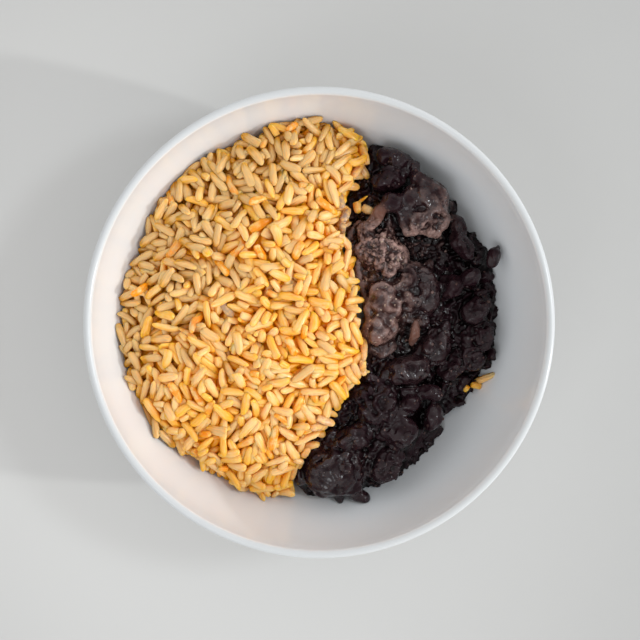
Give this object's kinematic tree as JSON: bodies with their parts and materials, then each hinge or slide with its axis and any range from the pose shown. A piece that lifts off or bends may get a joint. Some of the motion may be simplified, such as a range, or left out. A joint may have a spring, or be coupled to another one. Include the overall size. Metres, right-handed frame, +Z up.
{
  "type": "bowl of yellow rice and black beans",
  "caption": "Round white ceramic bowl served with loose yellow rice on one side and mashed black beans on the other.",
  "frame": {"origin": "on the bowl's axis, in the plane of its foot", "axes": "+Z up along the bowl's axis; the rice lies on the -X side and the beans on the +X side, with the beans' narrow end towards +Y"},
  "size_m": [0.15, 0.15, 0.055],
  "materials": {
    "glaze": "glossy white glaze",
    "rice": "moist cooked rice, lightly oiled",
    "beans": "moist mashed beans, glossy where smooth"
  },
  "bodies": {
    "root": {"bowl": "glaze", "rice": "rice", "beans": "beans"}
  },
  "joints": []
}
